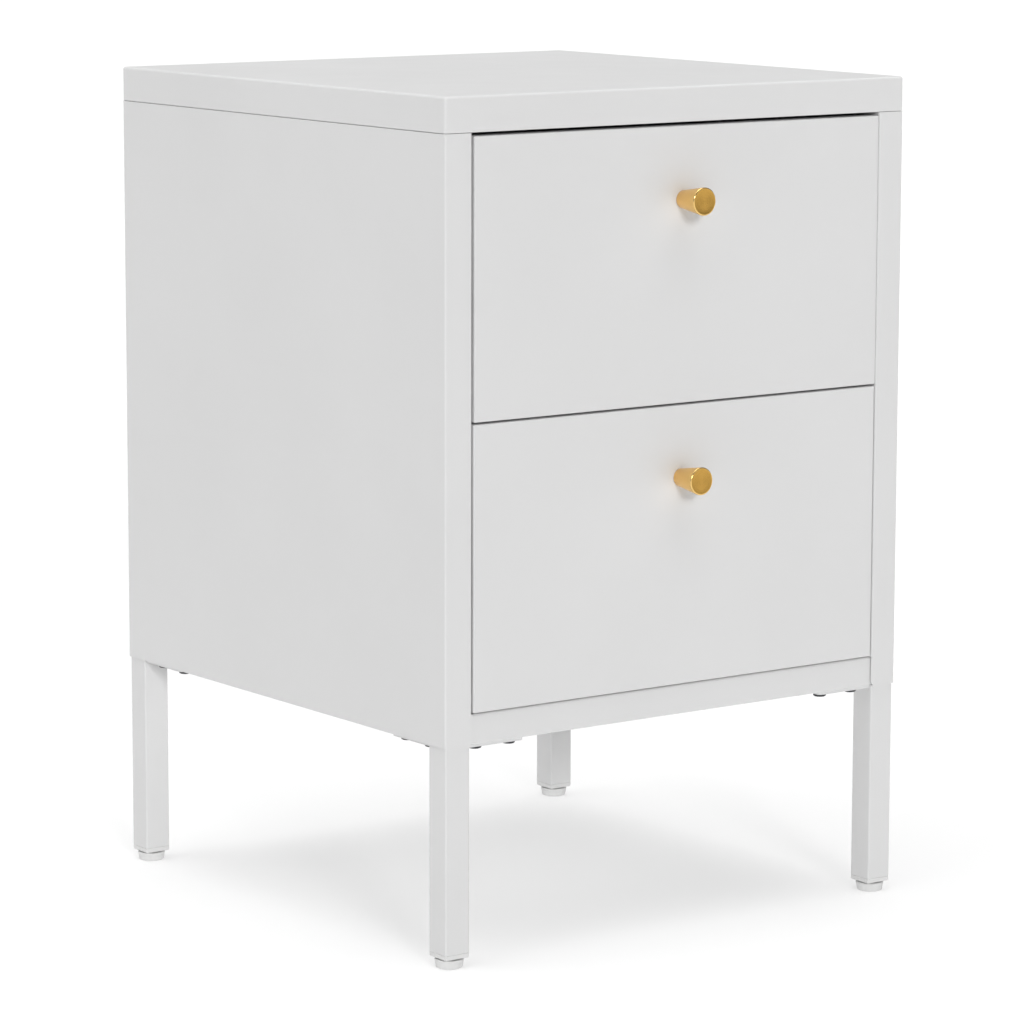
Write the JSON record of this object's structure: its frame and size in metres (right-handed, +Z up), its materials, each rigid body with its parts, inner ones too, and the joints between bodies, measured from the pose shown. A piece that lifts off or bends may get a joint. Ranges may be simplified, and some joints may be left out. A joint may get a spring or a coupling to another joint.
{
  "type": "filing cabinet",
  "caption": "Upright sheet-metal filing cabinet on square legs with levelling feet, flush drawers on ball-bearing runners and tapered brass knobs.",
  "frame": {"origin": "on the floor, under the middle of the bounding box, knobs and rear screw heads included", "axes": "+Z up; +X to the right seen from the front; the drawers open along -Y"},
  "size_m": [0.4, 0.4358, 0.595],
  "materials": {
    "shell_paint": "matt pale grey powder coat",
    "knob_brass": "satin turned brass with a polished rim",
    "runner_steel": "bright zinc plate",
    "cage_steel": "pressed steel with polished balls",
    "zinc_steel": "zinc plate",
    "black_screw": "black oxide",
    "foot_plastic": "moulded pale grey nylon"
  },
  "bodies": {
    "cabinet": {"top_cover": "shell_paint", "left_side_panel": "shell_paint", "right_side_panel": "shell_paint", "bottom_panel": "shell_paint", "back_panel": "shell_paint", "leg_screws": "black_screw", "leg_nuts": "zinc_steel", "foot_nuts": "zinc_steel", "panel_screws": "zinc_steel", "front_left_leg": "shell_paint", "front_left_leg_plug": "foot_plastic", "front_right_leg": "shell_paint", "front_right_leg_plug": "foot_plastic", "rear_left_leg": "shell_paint", "rear_left_leg_plug": "foot_plastic", "rear_right_leg": "shell_paint", "rear_right_leg_plug": "foot_plastic", "upper_left_runner_support": "shell_paint", "upper_left_cabinet_rail": "runner_steel", "upper_right_runner_support": "shell_paint", "upper_right_cabinet_rail": "runner_steel", "lower_left_runner_support": "shell_paint", "lower_left_cabinet_rail": "runner_steel", "lower_right_runner_support": "shell_paint", "lower_right_cabinet_rail": "runner_steel"},
    "upper_drawer": {"upper_drawer_front": "shell_paint", "upper_drawer_tray": "shell_paint", "upper_drawer_screws": "zinc_steel", "upper_knob": "knob_brass", "upper_knob_screw": "zinc_steel", "upper_left_drawer_rail": "runner_steel", "upper_right_drawer_rail": "runner_steel"},
    "lower_drawer": {"lower_drawer_front": "shell_paint", "lower_drawer_tray": "shell_paint", "lower_drawer_screws": "zinc_steel", "lower_knob": "knob_brass", "lower_knob_screw": "zinc_steel", "lower_left_drawer_rail": "runner_steel", "lower_right_drawer_rail": "runner_steel"},
    "upper_left_outer_ball_cage": {"upper_left_outer_ball_cage": "cage_steel"},
    "upper_left_middle_rail": {"upper_left_middle_rail": "runner_steel"},
    "upper_left_inner_ball_cage": {"upper_left_inner_ball_cage": "cage_steel"},
    "upper_right_outer_ball_cage": {"upper_right_outer_ball_cage": "cage_steel"},
    "upper_right_middle_rail": {"upper_right_middle_rail": "runner_steel"},
    "upper_right_inner_ball_cage": {"upper_right_inner_ball_cage": "cage_steel"},
    "lower_left_outer_ball_cage": {"lower_left_outer_ball_cage": "cage_steel"},
    "lower_left_middle_rail": {"lower_left_middle_rail": "runner_steel"},
    "lower_left_inner_ball_cage": {"lower_left_inner_ball_cage": "cage_steel"},
    "lower_right_outer_ball_cage": {"lower_right_outer_ball_cage": "cage_steel"},
    "lower_right_middle_rail": {"lower_right_middle_rail": "runner_steel"},
    "lower_right_inner_ball_cage": {"lower_right_inner_ball_cage": "cage_steel"},
    "front_left_foot_pad": {"front_left_foot_pad": "foot_plastic"},
    "front_left_foot_stud": {"front_left_foot_stud": "zinc_steel"},
    "front_right_foot_pad": {"front_right_foot_pad": "foot_plastic"},
    "front_right_foot_stud": {"front_right_foot_stud": "zinc_steel"},
    "rear_left_foot_pad": {"rear_left_foot_pad": "foot_plastic"},
    "rear_left_foot_stud": {"rear_left_foot_stud": "zinc_steel"},
    "rear_right_foot_pad": {"rear_right_foot_pad": "foot_plastic"},
    "rear_right_foot_stud": {"rear_right_foot_stud": "zinc_steel"}
  },
  "joints": [
    {"name": "upper_drawer_slide", "type": "slide", "parent": "cabinet", "child": "upper_drawer", "axis": [0, -1, 0], "range_m": [0, 0.35]},
    {"name": "upper_left_outer_ball_cage_slide", "type": "slide", "parent": "cabinet", "child": "upper_left_outer_ball_cage", "axis": [0, -1, 0], "range_m": [0, 0.0875]},
    {"name": "upper_left_middle_rail_slide", "type": "slide", "parent": "cabinet", "child": "upper_left_middle_rail", "axis": [0, -1, 0], "range_m": [0, 0.175]},
    {"name": "upper_left_inner_ball_cage_slide", "type": "slide", "parent": "cabinet", "child": "upper_left_inner_ball_cage", "axis": [0, -1, 0], "range_m": [0, 0.2625]},
    {"name": "upper_right_outer_ball_cage_slide", "type": "slide", "parent": "cabinet", "child": "upper_right_outer_ball_cage", "axis": [0, -1, 0], "range_m": [0, 0.0875]},
    {"name": "upper_right_middle_rail_slide", "type": "slide", "parent": "cabinet", "child": "upper_right_middle_rail", "axis": [0, -1, 0], "range_m": [0, 0.175]},
    {"name": "upper_right_inner_ball_cage_slide", "type": "slide", "parent": "cabinet", "child": "upper_right_inner_ball_cage", "axis": [0, -1, 0], "range_m": [0, 0.2625]},
    {"name": "lower_drawer_slide", "type": "slide", "parent": "cabinet", "child": "lower_drawer", "axis": [0, -1, 0], "range_m": [0, 0.35]},
    {"name": "lower_left_outer_ball_cage_slide", "type": "slide", "parent": "cabinet", "child": "lower_left_outer_ball_cage", "axis": [0, -1, 0], "range_m": [0, 0.0875]},
    {"name": "lower_left_middle_rail_slide", "type": "slide", "parent": "cabinet", "child": "lower_left_middle_rail", "axis": [0, -1, 0], "range_m": [0, 0.175]},
    {"name": "lower_left_inner_ball_cage_slide", "type": "slide", "parent": "cabinet", "child": "lower_left_inner_ball_cage", "axis": [0, -1, 0], "range_m": [0, 0.2625]},
    {"name": "lower_right_outer_ball_cage_slide", "type": "slide", "parent": "cabinet", "child": "lower_right_outer_ball_cage", "axis": [0, -1, 0], "range_m": [0, 0.0875]},
    {"name": "lower_right_middle_rail_slide", "type": "slide", "parent": "cabinet", "child": "lower_right_middle_rail", "axis": [0, -1, 0], "range_m": [0, 0.175]},
    {"name": "lower_right_inner_ball_cage_slide", "type": "slide", "parent": "cabinet", "child": "lower_right_inner_ball_cage", "axis": [0, -1, 0], "range_m": [0, 0.2625]},
    {"name": "front_left_foot_pad_slide", "type": "slide", "parent": "cabinet", "child": "front_left_foot_pad", "axis": [0, 0, -1], "range_m": [0, 0.01]},
    {"name": "front_left_foot_stud_turn", "type": "hinge", "parent": "front_left_foot_pad", "child": "front_left_foot_stud", "pos_m": [-0.189, -0.1829, 0.02], "axis": [0, 0, -1], "range_deg": [0, 2880]},
    {"name": "front_right_foot_pad_slide", "type": "slide", "parent": "cabinet", "child": "front_right_foot_pad", "axis": [0, 0, -1], "range_m": [0, 0.01]},
    {"name": "front_right_foot_stud_turn", "type": "hinge", "parent": "front_right_foot_pad", "child": "front_right_foot_stud", "pos_m": [0.189, -0.1829, 0.02], "axis": [0, 0, -1], "range_deg": [0, 2880]},
    {"name": "rear_left_foot_pad_slide", "type": "slide", "parent": "cabinet", "child": "rear_left_foot_pad", "axis": [0, 0, -1], "range_m": [0, 0.01]},
    {"name": "rear_left_foot_stud_turn", "type": "hinge", "parent": "rear_left_foot_pad", "child": "rear_left_foot_stud", "pos_m": [-0.189, 0.2051, 0.02], "axis": [0, 0, -1], "range_deg": [0, 2880]},
    {"name": "rear_right_foot_pad_slide", "type": "slide", "parent": "cabinet", "child": "rear_right_foot_pad", "axis": [0, 0, -1], "range_m": [0, 0.01]},
    {"name": "rear_right_foot_stud_turn", "type": "hinge", "parent": "rear_right_foot_pad", "child": "rear_right_foot_stud", "pos_m": [0.189, 0.2051, 0.02], "axis": [0, 0, -1], "range_deg": [0, 2880]}
  ],
  "couplings": [
    {"joint": "upper_left_outer_ball_cage_slide", "follows": "upper_drawer_slide", "ratio": 0.25},
    {"joint": "upper_left_middle_rail_slide", "follows": "upper_drawer_slide", "ratio": 0.5},
    {"joint": "upper_left_inner_ball_cage_slide", "follows": "upper_drawer_slide", "ratio": 0.75},
    {"joint": "upper_right_outer_ball_cage_slide", "follows": "upper_drawer_slide", "ratio": 0.25},
    {"joint": "upper_right_middle_rail_slide", "follows": "upper_drawer_slide", "ratio": 0.5},
    {"joint": "upper_right_inner_ball_cage_slide", "follows": "upper_drawer_slide", "ratio": 0.75},
    {"joint": "lower_left_outer_ball_cage_slide", "follows": "lower_drawer_slide", "ratio": 0.25},
    {"joint": "lower_left_middle_rail_slide", "follows": "lower_drawer_slide", "ratio": 0.5},
    {"joint": "lower_left_inner_ball_cage_slide", "follows": "lower_drawer_slide", "ratio": 0.75},
    {"joint": "lower_right_outer_ball_cage_slide", "follows": "lower_drawer_slide", "ratio": 0.25},
    {"joint": "lower_right_middle_rail_slide", "follows": "lower_drawer_slide", "ratio": 0.5},
    {"joint": "lower_right_inner_ball_cage_slide", "follows": "lower_drawer_slide", "ratio": 0.75},
    {"joint": "front_left_foot_pad_slide", "follows": "front_left_foot_stud_turn", "m_per_rad": 0.00019894},
    {"joint": "front_right_foot_pad_slide", "follows": "front_right_foot_stud_turn", "m_per_rad": 0.00019894},
    {"joint": "rear_left_foot_pad_slide", "follows": "rear_left_foot_stud_turn", "m_per_rad": 0.00019894},
    {"joint": "rear_right_foot_pad_slide", "follows": "rear_right_foot_stud_turn", "m_per_rad": 0.00019894}
  ]
}
